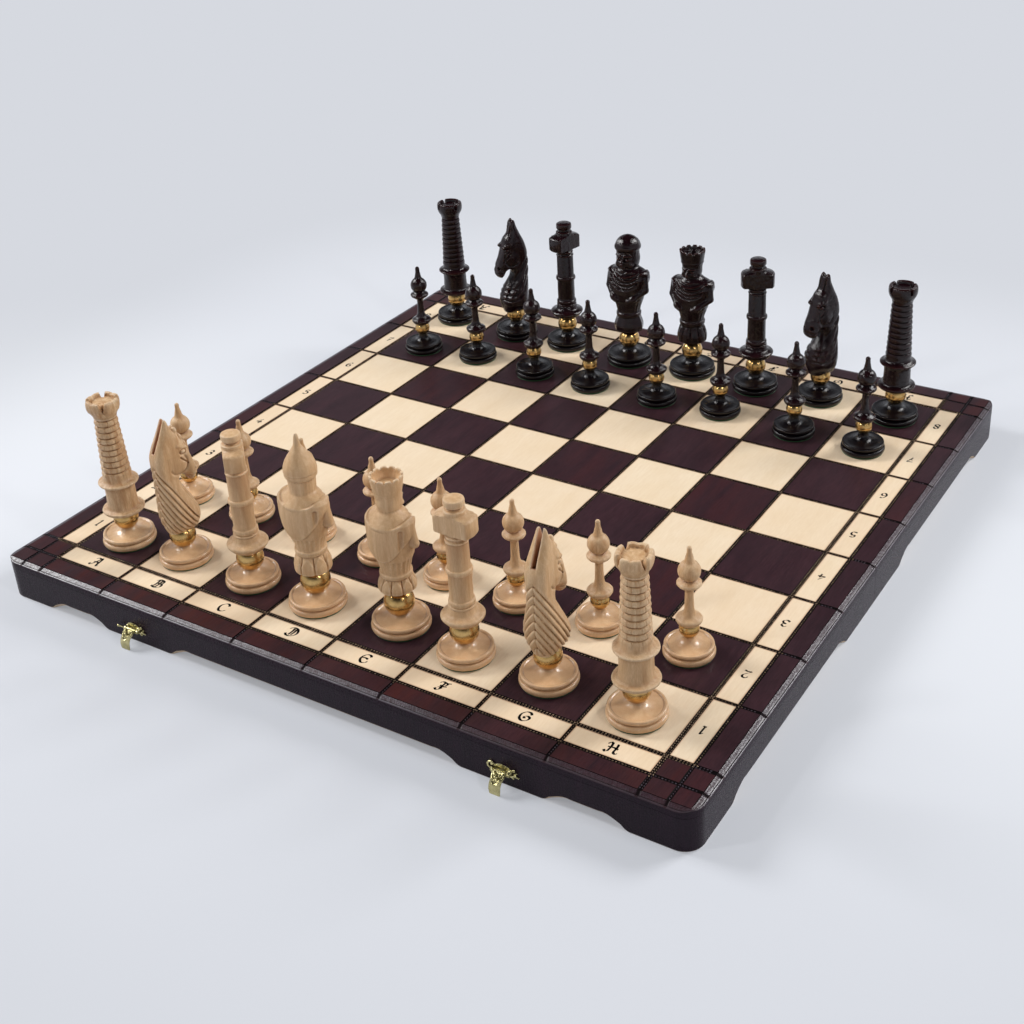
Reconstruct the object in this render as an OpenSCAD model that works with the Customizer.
// Folding chess box laid open as a board, with its thirty-two men standing on it.
// X runs along the files from a to h, Y from the first rank to the eighth, Z up.
// The origin is under the middle of the fold, on the surface that the board rests on.

/* [Board] */
// Side of one square
square = 70.5; // [60:0.5:75]
// Width of the light strip that holds the letters and figures
cell_w = 21; // [16:0.5:26]
// Width of the dark strip outside the letters
strip_w = 16.5; // [12:0.5:22]
// Width of the sloping edge of the playing panel
lip_w = 5.5; // [4:0.5:8]
// Drop of the sloping edge
lip_drop = 2.5; // [1:0.25:4]
// Height from the feet to the playing surface
board_t = 36; // [32:1:46]
// Thickness of the playing panel
panel_t = 7; // [5:0.5:9]
// Radius of the board's four corners
corner_r = 15; // [10:1:20]
// Gap between the two halves at the fold
fold_gap = 0.3; // [0.2:0.05:0.6]

/* [Rails] */
// Thickness of the rails
rail_t = 12; // [10:0.5:16]
// Length of the corner return that the end rails carry
corner_len = 22; // [21:1:30]
// Height of the arches cut in the rails
arch_h = 7; // [4:0.5:10]
// Run of an arch from its foot to its full height
arch_run = 11; // [8:1:16]
// Length of the short arches at the ends of the end rails
short_arch = 70; // [50:2:80]
// Length of the long arch in the middle of the end rails
long_arch = 282; // [200:2:290]
// Length of the arches in the side rails
side_arch = 212; // [150:2:230]
// Length of the foot beside the fold
fold_foot = 58; // [45:1:70]
// Width of the foot that carries a latch
latch_foot = 66; // [50:1:70]
// Depth of the small groove under the panel
groove_d = 0.8; // [0.4:0.1:1.2]

/* [Inside] */
// Thickness of the felt lining
felt_t = 1; // [0.6:0.1:2]
// Thickness of the dividers
divider_t = 5; // [3:0.5:8]
// Distance that the dividers stay below the rim
divider_drop = 5; // [3:0.5:10]
// Clearance at both ends of each divider
divider_gap = 0.1; // [0.05:0.05:0.4]

/* [Hinges] */
// Outer radius of the hinge barrels
knuckle_r = 1.3; // [1.2:0.05:1.4]
// Radius of the hinge pins
hinge_pin_r = 0.6; // [0.5:0.05:0.7]
// Running clearance around the hinge pins
pin_gap = 0.05; // [0.03:0.01:0.08]
// Length of one hinge along the fold
hinge_len = 40; // [30:1:60]
// Depth of one hinge leaf across the rail
leaf_d = 9; // [7:0.5:9.5]
// Thickness of a hinge leaf
leaf_t = 1; // [0.8:0.1:1.1]
// Distance from the middle of the board to each hinge
hinge_x = 205; // [120:5:240]
// Gap between neighbouring hinge barrels
barrel_gap = 0.3; // [0.2:0.05:0.5]
// Distance that the hinge axis lies below the rims
axis_drop = 0.15; // [0.1:0.05:0.3]
// Clearance around the barrels in the wood
barrel_room = 0.5; // [0.3:0.1:0.8]
// Radius of a hinge screw's head
hinge_screw_r = 2; // [1.5:0.1:2.5]
// Length of a hinge screw
screw_len = 7; // [5:0.5:10]

/* [Latches] */
// Distance from the middle of the board to each latch
latch_x = 177; // [150:1:200]
// Thickness of the latch plates
plate_t = 1; // [0.8:0.1:1.4]
// Width of a latch plate with its leaves
plate_w = 28; // [24:1:34]
// Height of a latch plate
plate_h = 12; // [10:0.5:15]
// Height of the hasp's pivot above the rim
hasp_up = 12.5; // [10:0.25:15]
// Outer radius of the hasp's barrels
hasp_r = 1.6; // [1.4:0.1:2]
// Radius of the hasp's pin
hasp_pin_r = 0.7; // [0.6:0.05:0.8]
// Length of the left latch's pin that stands out to the left
pin_tail = 8; // [0:1:9]
// Width of the hasp
hasp_w = 10; // [8:0.5:13]
// Bend radius of the hasp, and so how far it stands out
hasp_bend = 9; // [8.5:0.5:11]
// Height of the hasp's tip above the rim, negative below it
hasp_tip = -0.8; // [-1:0.1:-0.5]
// Thickness of the hasp
hasp_t = 1.2; // [1:0.1:1.6]
// Gap beside the hasp's barrel
hasp_side = 0.3; // [0.2:0.05:0.5]
// Length of each barrel on the latch plate
end_barrel = 2.2; // [1.6:0.1:3]
// Radius of the catch's stud
stud_r = 1.2; // [1:0.1:1.6]
// Height of the catch's stud above its plate
stud_h = 0.9; // [0.6:0.1:1]
// Height of the catch's plate
catch_h = 9; // [7:0.5:12]
// Radius of a latch nail's head
nail_r = 1.1; // [0.8:0.1:1.4]
// Length of a latch nail in the wood
nail_len = 6; // [4:0.5:8]

/* [Men] */
// Radius of the base of a pawn
pawn_r = 20; // [16:0.5:22]
// Radius of the base of a rook, knight or bishop
piece_r = 22.5; // [18:0.5:25]
// Radius of the base of a king or queen
royal_r = 23.5; // [20:0.5:26]
// Thickness of the felt under a man
pad_t = 1; // [0.5:0.1:1.5]
// Height of a pawn
pawn_h = 94; // [80:1:100]
// Height of a rook
rook_h = 136; // [120:1:150]
// Height of a knight
knight_h = 131; // [115:1:145]
// Height of a bishop
bishop_h = 137; // [120:1:150]
// Height of the white figure with the spiked helmet
helmet_h = 153; // [140:1:160]
// Height of the figures with a coronet
coronet_h = 141; // [130:1:150]
// Height of the black figure with a cap
cap_h = 138; // [125:1:150]

/* [Hidden] */
$fn = 48;

natural = [0.86, 0.72, 0.52];
stained = [0.13, 0.07, 0.07];
walnut = [0.17, 0.10, 0.11];
raw = [0.78, 0.62, 0.44];
brass = [0.78, 0.62, 0.28];
green = [0.10, 0.32, 0.18];

margin = cell_w + strip_w + lip_w;
half_w = 4 * square + margin;
rim_z = knuckle_r + axis_drop;
axis_z = rim_z - axis_drop;
top_z = rim_z + board_t;
rail_top = top_z - panel_t;
inner_w = half_w - rail_t;
fold_in = fold_gap / 2 + rail_t;
end_in = half_w - rail_t;
felt_z = rail_top - felt_t;
latch_y = -half_w - plate_t - hasp_r;
latch_z = rim_z + hasp_up;
eps = 0.01;
// Room round the shank of a nail or a screw
fastener_gap = 0.15;

// ---- shared helpers

// Plan of one half, with round outer corners, on the front side of the fold
module half_plan(inset = 0) {
    w = half_w - inset;
    r = corner_r - inset;
    translate([-w, -w + r]) square([2 * w, w - r - fold_gap / 2]);
    translate([-w + r, -w]) square([2 * (w - r), 2 * r]);
    for (s = [-1, 1]) translate([s * (w - r), -w + r]) circle(r);
}

// Outline of an arch that starts at 0, rises over its run and stays level to its other end
function arch_side(n = 8) = [for (i = [0 : n])
    let (t = i / n) [arch_run * t, arch_h * (1 - cos(180 * t)) / 2]];
module arch(length) {
    left = arch_side();
    right = [for (i = [len(left) - 1 : -1 : 0]) [length - left[i][0], left[i][1]]];
    polygon(concat([[0, -rim_z - 1]], left, right, [[length, -rim_z - 1]]));
}

// An arch cut through a rail that lies along X, centred on x
module arch_along_x(x, length) {
    translate([x - length / 2, -half_w + rail_t + corner_len, rim_z]) rotate([90, 0, 0])
        linear_extrude(rail_t + 2 * corner_len) arch(length);
}

module mirror_y(on) { mirror([0, on ? 1 : 0, 0]) children(); }

// ---- the two halves' wood

module panel() {
    difference() {
        translate([0, 0, rail_top]) linear_extrude(panel_t) half_plan();
        // sloping edge, straight along the three outer sides
        for (s = [-1, 1]) scale_x(s) translate([half_w, 0, top_z]) rotate([90, 0, 0])
            linear_extrude(half_w - corner_r) bevel_cut();
        translate([half_w - corner_r, -half_w, top_z]) rotate([90, 0, -90])
            linear_extrude(2 * (half_w - corner_r)) bevel_cut();
        // and round the two corners
        for (s = [-1, 1]) scale_x(s)
            translate([half_w - corner_r, -half_w + corner_r, top_z]) rotate([0, 0, -90])
                rotate_extrude(angle = 90) translate([corner_r, 0]) bevel_cut();
    }
}
module scale_x(s) { mirror([s < 0 ? 1 : 0, 0, 0]) children(); }
module bevel_cut() {
    polygon([[-lip_w, 0], [-lip_w, 1], [1, 1], [1, -lip_drop - lip_drop / lip_w],
             [0, -lip_drop]]);
}

// Wood between the outer outline and the inside of the rails, over the rails' full height
module rail_ring() {
    difference() {
        translate([0, 0, rim_z]) linear_extrude(board_t - panel_t) half_plan();
        translate([-inner_w, -end_in, rim_z - 1])
            cube([2 * inner_w, end_in - fold_in, board_t]);
        // small groove under the panel
        translate([0, 0, rail_top - groove_d]) linear_extrude(groove_d + 1) difference() {
            half_plan(-1);
            half_plan(groove_d);
        }
    }
}

// The nails of a latch or a catch stand nail_at to both sides of it, at the height nail_z
module end_rail(nail_at, nail_z) {
    difference() {
        intersection() {
            rail_ring();
            translate([-half_w - 1, -half_w - 1, 0])
                cube([2 * half_w + 2, corner_len + 1, top_z]);
        }
        arch_along_x(0, long_arch);
        for (s = [-1, 1])
            arch_along_x(s * (long_arch / 2 + latch_foot + short_arch / 2), short_arch);
        for (s = [-1, 1], side = [-1, 1])
            translate([s * latch_x + side * nail_at, -half_w + nail_len, nail_z])
                rotate([90, 0, 0]) cylinder(r = nail_r / 2 + fastener_gap, h = nail_len + 1);
    }
}

module side_rail(s) {
    difference() {
        intersection() {
            rail_ring();
            translate([s > 0 ? inner_w : -half_w - 1, -half_w + corner_len, 0])
                cube([rail_t + 1, half_w - corner_len, top_z]);
        }
        translate([s * half_w - rail_t * 2, -fold_foot - side_arch, rim_z])
            rotate([90, 0, 90]) linear_extrude(4 * rail_t) arch(side_arch);
    }
}

module fold_rail() {
    difference() {
        translate([-inner_w, -fold_in, rim_z])
            cube([2 * inner_w, rail_t, board_t - panel_t]);
        for (s = [-1, 1]) {
            // seat of the leaf, and room for the barrels
            translate([s * hinge_x - hinge_len / 2, -fold_gap / 2 - leaf_d, rim_z - 1])
                cube([hinge_len, leaf_d + 1, leaf_t + 1]);
            translate([s * hinge_x - hinge_len / 2, 0, axis_z]) rotate([0, 90, 0])
                cylinder(r = knuckle_r + barrel_room, h = hinge_len);
            for (x = screw_spots()) translate([s * hinge_x + x, screw_y(), rim_z])
                cylinder(r = hinge_screw_r / 2 + fastener_gap, h = screw_len + 1);
        }
    }
}

module lining() {
    translate([-inner_w, -end_in, felt_z]) cube([2 * inner_w, end_in - fold_in, felt_t]);
}

// One long divider and the short ones on both its sides
cell_y = (end_in - fold_in - divider_t) / 2;
cell_x = (2 * inner_w - 3 * divider_t) / 4;
module dividers() {
    z0 = rim_z + divider_drop;
    h = felt_z - z0;
    g = divider_gap;
    translate([-inner_w + g, -fold_in - cell_y - divider_t, z0])
        cube([2 * inner_w - 2 * g, divider_t, h]);
    for (i = [1 : 3], y = [-fold_in - cell_y, -end_in])
        translate([-inner_w + i * cell_x + (i - 1) * divider_t, y + g, z0])
            cube([divider_t, cell_y - 2 * g, h]);
}

// ---- hinges

function screw_spots() = [-hinge_len / 3, hinge_len / 3];
function screw_y() = -fold_gap / 2 - leaf_d / 2 - knuckle_r / 2;
barrels = 5;
barrel_len = (hinge_len - (barrels - 1) * barrel_gap) / barrels;

// Leaf and barrels of one half; first is 0 on the half that has the outer barrels
module hinge_leaf(first) {
    for (s = [-1, 1]) translate([s * hinge_x, 0, 0]) difference() {
        union() {
            translate([-hinge_len / 2, -fold_gap / 2 - leaf_d, rim_z])
                cube([hinge_len, leaf_d - knuckle_r, leaf_t]);
            for (i = [first : 2 : barrels - 1])
                translate([-hinge_len / 2 + i * (barrel_len + barrel_gap), 0, 0]) {
                    translate([0, 0, axis_z]) rotate([0, 90, 0])
                        cylinder(r = knuckle_r, h = barrel_len);
                    translate([0, -fold_gap / 2 - leaf_d + 1, rim_z])
                        cube([barrel_len, leaf_d - 1, leaf_t]);
                }
        }
        translate([-hinge_len / 2 - 1, 0, axis_z]) rotate([0, 90, 0])
            cylinder(r = hinge_pin_r + pin_gap, h = hinge_len + 2);
        for (x = screw_spots()) translate([x, screw_y(), rim_z - eps]) {
            cylinder(r1 = hinge_screw_r + fastener_gap, r2 = hinge_screw_r / 2 + fastener_gap,
                     h = leaf_t + 2 * eps);
        }
    }
}
module hinge_screw_set() {
    for (s = [-1, 1], x = screw_spots()) translate([s * hinge_x + x, screw_y(), rim_z + 0.1]) {
        cylinder(r1 = hinge_screw_r, r2 = hinge_screw_r / 2, h = leaf_t - 0.1);
        cylinder(r = hinge_screw_r / 2, h = screw_len);
    }
}

module hinge_pin_set() {
    for (s = [-1, 1]) translate([s * hinge_x - hinge_len / 2, 0, axis_z])
        rotate([0, 90, 0]) cylinder(r = hinge_pin_r, h = hinge_len);
}

// ---- latches

// Plate with a round leaf on both sides, centred on its own origin
module leaf_plate() {
    leaf = plate_h * 0.28;
    for (s = [-1, 1]) translate([s * (plate_w / 2 - leaf), 0]) circle(leaf);
    square([plate_w - 2 * leaf, plate_h * 0.42], center = true);
    circle(plate_h / 2);
}
// Where the nails sit in the leaves
nail_x = plate_w / 2 - plate_h * 0.28;
plate_z = latch_z + plate_h * 0.15;

module latch_plate_set() {
    for (s = [-1, 1]) translate([s * latch_x, 0, 0]) {
        difference() {
            translate([0, -half_w, plate_z]) rotate([90, 0, 0]) linear_extrude(plate_t)
                leaf_plate();
            for (side = [-1, 1]) translate([side * nail_x, -half_w + 1, plate_z])
                rotate([90, 0, 0]) cylinder(r = nail_r / 2 + fastener_gap, h = 4);
            // room for the hasp's barrel
            translate([-hasp_w / 2 - hasp_side, latch_y, latch_z]) rotate([0, 90, 0])
                cylinder(r = hasp_r + hasp_side, h = hasp_w + 2 * hasp_side);
        }
        for (side = [-1, 1])
            translate([side * (hasp_w / 2 + hasp_side + end_barrel / 2), 0, 0]) difference() {
                union() {
                    translate([-end_barrel / 2, latch_y, latch_z]) rotate([0, 90, 0])
                        cylinder(r = hasp_r, h = end_barrel);
                    translate([-end_barrel / 2, latch_y, latch_z - hasp_r])
                        cube([end_barrel, -half_w - latch_y, 2 * hasp_r]);
                }
                translate([-end_barrel, latch_y, latch_z]) rotate([0, 90, 0])
                    cylinder(r = hasp_pin_r + pin_gap, h = 2 * end_barrel);
            }
    }
}

// Round-headed nail with its head towards -Y
module nail() {
    rotate([90, 0, 0]) {
        cylinder(r = nail_r, h = nail_r / 2);
        translate([0, 0, -nail_len]) cylinder(r = nail_r / 2, h = nail_len);
    }
}
module latch_nail_set() {
    for (s = [-1, 1], side = [-1, 1])
        translate([s * latch_x + side * nail_x, -half_w - plate_t, plate_z]) nail();
}

// The hasp leaves its barrel level, bends down and ends just below the rim
module hasp(s) {
    drop = hasp_up - hasp_tip;
    translate([s * latch_x - hasp_w / 2, latch_y, latch_z]) difference() {
        union() {
            rotate([0, 90, 0]) cylinder(r = hasp_r, h = hasp_w);
            translate([0, 0, -hasp_bend]) rotate([0, 90, 0]) rotate([0, 0, 180])
                rotate_extrude(angle = 90) translate([hasp_bend - hasp_t / 2, 0])
                    square([hasp_t, hasp_w]);
            translate([0, -hasp_bend - hasp_t / 2, -drop])
                cube([hasp_w, hasp_t, drop - hasp_bend]);
        }
        translate([-1, 0, 0]) rotate([0, 90, 0])
            cylinder(r = hasp_pin_r + pin_gap, h = hasp_w + 2);
    }
}
module hasp_pin_set() {
    for (s = [-1, 1]) {
        tail = s < 0 ? pin_tail : 0;
        half = hasp_w / 2 + hasp_side + end_barrel;
        translate([s * latch_x - half - tail, latch_y, latch_z])
            rotate([0, 90, 0]) cylinder(r = hasp_pin_r, h = 2 * half + tail);
    }
}

// Catch on the rear rail; the hasp's tip closes over its stud when the box is shut
stud_z = rim_z + hasp_bend_reach() - hasp_up - 2 * axis_drop - stud_r - 0.3;
function hasp_bend_reach() = norm([hasp_bend, hasp_up - hasp_tip]);
catch_nail_x = hasp_w / 2 - 1;
catch_nail_z = rim_z + catch_h - 2;
module catch_set() {
    for (s = [-1, 1]) difference() {
        translate([s * latch_x, half_w, 0]) {
            translate([-hasp_w / 2 - 1, 0, rim_z]) cube([hasp_w + 2, plate_t, catch_h]);
            translate([0, 0, stud_z]) rotate([-90, 0, 0])
                cylinder(r = stud_r, h = plate_t + stud_h);
        }
        for (side = [-1, 1])
            translate([s * latch_x + side * catch_nail_x, half_w - 1, catch_nail_z])
                rotate([-90, 0, 0]) cylinder(r = nail_r / 2 + fastener_gap, h = 4);
    }
}
module catch_nail_set() {
    for (s = [-1, 1], side = [-1, 1])
        translate([s * latch_x + side * catch_nail_x, half_w + plate_t, catch_nail_z])
            rotate([0, 0, 180]) nail();
}

// ---- the men

// Round swelling of a turned profile from height a to b, standing out from r to r + out
function bead(a, b, r, out, n = 6) = [for (i = [0 : n])
    let (t = 180 * i / n) [r + out * sin(t), (a + b) / 2 - (b - a) / 2 * cos(t)]];
// Hollow that runs from radius r at height a to radius q at height b, steep at its upper end
function cove(a, b, r, q, n = 6) = [for (i = [0 : n])
    let (t = 90 * i / n) [r + (q - r) * sin(t), a + (b - a) * (1 - cos(t))]];
// Ball of radius r at height c, cut off at heights a and b
function ball(c, r, a, b, n = 8) = [for (i = [0 : n])
    let (t = asin((a - c) / r) + (asin((b - c) / r) - asin((a - c) / r)) * i / n)
    [r * cos(t), c + r * sin(t)]];

// Solid of revolution from a profile that starts and ends away from the axis
module turn(profile) {
    last = profile[len(profile) - 1];
    rotate_extrude() polygon(concat([[0, profile[0][1]]], profile, [[0, last[1]]]));
}

// Heights that every man shares
saucer_z = 10.5;
neck_z = 16.5;
collar_z = 27;

// Felt, saucer-shaped foot and brass collar under a man
module foot(r, collar_r, neck_r, wood) {
    color(green) cylinder(r = r - 1.2, h = pad_t);
    color(wood) turn(concat(
        bead(pad_t, 6.5, r - 1.2, 1.2), [[r - 2, 6.5], [r - 2, 7.2]],
        bead(7.2, saucer_z, r - 2, 0.8), cove(saucer_z, neck_z, r - 2.5, neck_r)));
    color(brass) turn(ball((neck_z + collar_z) / 2, collar_r, neck_z, collar_z));
}

// The wood above the collar; heights from here on are measured from the collar's top
module on_foot(r, collar_r, neck_r, wood) {
    foot(r, collar_r, neck_r, wood);
    color(wood) translate([0, 0, collar_z]) children();
}

module pawn(wood) {
    top = pawn_h - collar_z;
    on_foot(pawn_r, 7, 4.5, wood) turn(concat(
        bead(0, 12, 5, 5.5), [[4.8, 14], [3.9, 22], [3.6, 27], [4.3, 31]],
        bead(32, 39, 5.5, 3.5), ball(46, 8.5, 39.5, 53.2),
        [[3.6, 54.5], [2.6, top - 5]], ball(top - 2.4, 2.4, top - 2.4, top - 0.1)));
}

// Tower with its grooves, from height a to b, r wide below and q wide at the top
function courses(a, b, r, q, count) = [for (i = [0 : count - 1], j = [0 : 2])
    let (z = a + (b - a) * (i + 0.5) / count + (j - 1) * 0.7, w = r + (q - r) * (z - a) / (b - a))
    [w - (j == 1 ? 0.6 : 0), z]];
crown_h = 17;
crown_wall = 2.6;
module rook(wood) {
    top = rook_h - collar_z;
    neck = top - crown_h;
    rim_r = 13.5;
    on_foot(piece_r, 10.5, 7, wood) difference() {
        turn(concat(bead(0, 13, 12.2, 5), [[13.6, 14], [13, 25]], bead(26, 36, 13, 3.2),
            [[12.5, 37]], courses(37, neck, 12.5, 9.2, 9), [[9.2, neck]],
            cove(neck + 1, neck + 8, 9.2, rim_r - 0.4, 4), [[rim_r, neck + 11], [rim_r, top]]));
        translate([0, 0, top - 7]) cylinder(r = rim_r - crown_wall, h = 8);
        for (a = [45, 135]) rotate([0, 0, a])
            translate([-rim_r - 1, -1.8, top - 6]) cube([2 * rim_r + 2, 3.6, 7]);
    }
}

// The carved bar across a bishop's head
bar_r = 16.5;
bar_half = 8;
module bishop(wood) {
    top = bishop_h - collar_z;
    bar_z = top - 32;
    on_foot(piece_r, 10.5, 7, wood) {
        turn(concat([[10.5, 0], [14.4, 4], [16.2, 8], [16.5, 10.5], [15.6, 12.5], [10.4, 18]],
            bead(18.5, 25, 9, 1.2, 4), [[8.9, 26], [8.7, 47]], bead(48, 54, 8.7, 1.3, 4),
            [[8.4, 55], [8.1, bar_z - 8]], bead(bar_z - 7, bar_z - 3, 7.8, 0.8, 4),
            [[8, bar_z], [8, bar_z + 10]]));
        intersection() {
            turn([[14.5, bar_z], [bar_r, bar_z + 1.5], [bar_r, bar_z + 12], [9, bar_z + 16]]);
            translate([-bar_r, -bar_half, bar_z]) cube([2 * bar_r, 2 * bar_half, 20]);
        }
        translate([0, 0, bar_z + 16]) turn(concat([[7.5, -2], [7.5, 3], [5.8, 4], [5.8, 7]],
            bead(7.5, top - bar_z - 16, 7.2, 1.4)));
    }
}

// Side view of the carved horse, nose towards +X of the sketch
function horse_side() = let (top = knight_h - collar_z) [
    [-9, 0], [-14, 8], [-16, 23], [-15.5, 45], [-15, 60], [-13.5, 75], [-9, 87], [-3, 97],
    [-0.5, top], [3, top - 2], [5.5, 93], [11, 81], [16, 68], [20.5, 56], [21, 50], [17.5, 45],
    [12, 43.5], [9, 49], [4.5, 53], [3, 46], [8, 37], [14, 27], [16.5, 17], [15.5, 9], [9.5, 0]];
// Half of its front view
function horse_front() = let (top = knight_h - collar_z) [
    [0, 0], [9.5, 0], [15, 10], [16, 20], [14, 33], [10.5, 44], [7.5, 51], [9.2, 66],
    [9.2, 82], [7.5, 93], [5.5, top], [0, top]];
module knight(wood) {
    on_foot(piece_r, 10.5, 7, wood) intersection() {
        translate([-20, 0, 0]) rotate([90, 0, 90]) linear_extrude(40) polygon(horse_side());
        union() for (s = [0, 1]) mirror([s, 0, 0]) translate([0, 30, 0]) rotate([90, 0, 0])
            linear_extrude(60) polygon(horse_front());
    }
}

// Half of the outline of the shoulders and folded arms that the royal figures share
function arms() = [[0, 31], [8, 31], [14, 34], [18.5, 42], [20.5, 52], [22.3, 66], [21, 71],
    [16, 74.5], [0, 77]];
arm_depth = 15;
shoulder_z = 75;
// Skirt, belt, cloak and arms
module royal_body() {
    turn(concat([[10, 0], [13.5, 2.5], [15.2, 9], [14, 15], [10.8, 20.5]],
        bead(21, 25.5, 11, 1.6, 4), [[10.8, 27], [11.6, 34], [14.5, 46], [16.7, 58],
        [17.2, 65], [16, 70], [10, shoulder_z]]));
    for (s = [0, 1]) mirror([s, 0, 0]) translate([0, arm_depth / 2, 0]) rotate([90, 0, 0])
        linear_extrude(arm_depth) polygon(arms());
}
module helmet_king(wood) {
    top = helmet_h - collar_z;
    on_foot(royal_r, 11.5, 7.5, wood) {
        royal_body();
        turn(concat([[10.3, shoulder_z - 3], [10.3, 91]], ball(99, 12.5, 93, 108.5),
            [[5.6, 112], [3, 114.5], [2.4, top - 6], [1.2, top - 1], [0.5, top]]));
    }
}
module cap_king(wood) {
    top = cap_h - collar_z;
    on_foot(royal_r, 11, 7.5, wood) {
        royal_body();
        turn(concat([[9.5, shoulder_z - 3], [10.8, 84], [10.8, 93], [12.4, 96], [12.4, 102]],
            ball(top - 10, 10.4, top - 7, top - 0.1)));
    }
}
module queen(wood) {
    top = coronet_h - collar_z;
    neck = top - 24;
    on_foot(royal_r, 11.5, 7.5, wood) difference() {
        union() {
            royal_body();
            turn([[8.6, shoulder_z - 3], [8.6, neck], [9.4, neck + 4], [11.6, top - 8], [12.4, top]]);
        }
        translate([0, 0, top - 4]) cylinder(r1 = 9.4, r2 = 10.4, h = 4.1);
        for (a = [0 : 30 : 179]) rotate([0, 0, a])
            translate([-15, -0.9, top - 2.4]) cube([30, 1.8, 3]);
    }
}

// How far each man stands off the middle of its square, along the files and the ranks
white_back = [[0, -7], [-7, -5], [-4, -5], [-7, -5], [-1, 2], [-6, -6], [-6, -3], [-2, -7]];
white_front = [[-3, 2], [-4, 3], [-5, 2], [-4, 3], [-6, 1], [-9, 0], [-7, 4], [-2, 3]];
black_front = [[3, -3], [-3, 4], [0, -1], [-5, -1], [-2, 2], [-6, 6], [2, 0], [0, -2]];
black_back = [[-9, 8], [2, 2], [-5, 4], [1, 0], [1, 3], [2, -1], [-3, 5], [4, -1]];
offsets = [white_back, white_front, [], [], [], [], black_front, black_back];

// Stands a man on the square of file f and rank r, turned about its own axis
module stand(f, r, turned = 0) {
    off = offsets[r - 1][f - 1];
    translate([(f - 4.5) * square + off[0], (r - 4.5) * square + off[1], top_z])
        rotate([0, 0, turned]) children();
}

// ---- the nodes

color(walnut) panel();  // front_panel
color(walnut) mirror_y(true) panel();  // rear_panel
color(stained) end_rail(nail_x, plate_z);  // front_rail
color(stained) side_rail(-1);  // front_left_rail
color(stained) side_rail(1);  // front_right_rail
color(stained) fold_rail();  // front_fold_rail
color(stained) mirror_y(true)  // rear_rail
    end_rail(catch_nail_x, catch_nail_z);
color(stained) mirror_y(true) side_rail(-1);  // rear_left_rail
color(stained) mirror_y(true) side_rail(1);  // rear_right_rail
color(stained) mirror_y(true) fold_rail();  // rear_fold_rail
color(green) lining();  // front_lining
color(green) mirror_y(true) lining();  // rear_lining
color(raw) dividers();  // front_dividers
color(raw) mirror_y(true) dividers();  // rear_dividers
color(brass) hinge_leaf(1);  // front_hinge_leaves
color(brass) mirror_y(true) hinge_leaf(0);  // rear_hinge_leaves
color(brass) hinge_pin_set();  // hinge_pins
color(brass) hinge_screw_set();  // front_hinge_screws
color(brass) mirror_y(true) hinge_screw_set();  // rear_hinge_screws
color(brass) latch_plate_set();  // latch_plates
color(brass) latch_nail_set();  // latch_nails
color(brass) hasp(-1);  // left_hasp
color(brass) hasp(1);  // right_hasp
color(brass) hasp_pin_set();  // hasp_pins
color(brass) catch_set();  // latch_catches
color(brass) catch_nail_set();  // catch_nails
stand(1, 1) rook(natural);  // white_rook_a1
stand(2, 1) knight(natural);  // white_knight_b1
stand(3, 1, -45) bishop(natural);  // white_bishop_c1
stand(4, 1) helmet_king(natural);  // white_king_d1
stand(5, 1) queen(natural);  // white_queen_e1
stand(6, 1) bishop(natural);  // white_bishop_f1
stand(7, 1) knight(natural);  // white_knight_g1
stand(8, 1, 15) rook(natural);  // white_rook_h1
stand(1, 2) pawn(natural);  // white_pawn_a2
stand(2, 2) pawn(natural);  // white_pawn_b2
stand(3, 2) pawn(natural);  // white_pawn_c2
stand(4, 2) pawn(natural);  // white_pawn_d2
stand(5, 2) pawn(natural);  // white_pawn_e2
stand(6, 2) pawn(natural);  // white_pawn_f2
stand(7, 2) pawn(natural);  // white_pawn_g2
stand(8, 2) pawn(natural);  // white_pawn_h2
stand(1, 8, 20) rook(stained);  // black_rook_a8
stand(2, 8, 180) knight(stained);  // black_knight_b8
stand(3, 8, 75) bishop(stained);  // black_bishop_c8
stand(4, 8, 180) cap_king(stained);  // black_king_d8
stand(5, 8, 180) queen(stained);  // black_queen_e8
stand(6, 8, 30) bishop(stained);  // black_bishop_f8
stand(7, 8, 180) knight(stained);  // black_knight_g8
stand(8, 8, 10) rook(stained);  // black_rook_h8
stand(1, 7) pawn(stained);  // black_pawn_a7
stand(2, 7) pawn(stained);  // black_pawn_b7
stand(3, 7) pawn(stained);  // black_pawn_c7
stand(4, 7) pawn(stained);  // black_pawn_d7
stand(5, 7) pawn(stained);  // black_pawn_e7
stand(6, 7) pawn(stained);  // black_pawn_f7
stand(7, 7) pawn(stained);  // black_pawn_g7
stand(8, 7) pawn(stained);  // black_pawn_h7
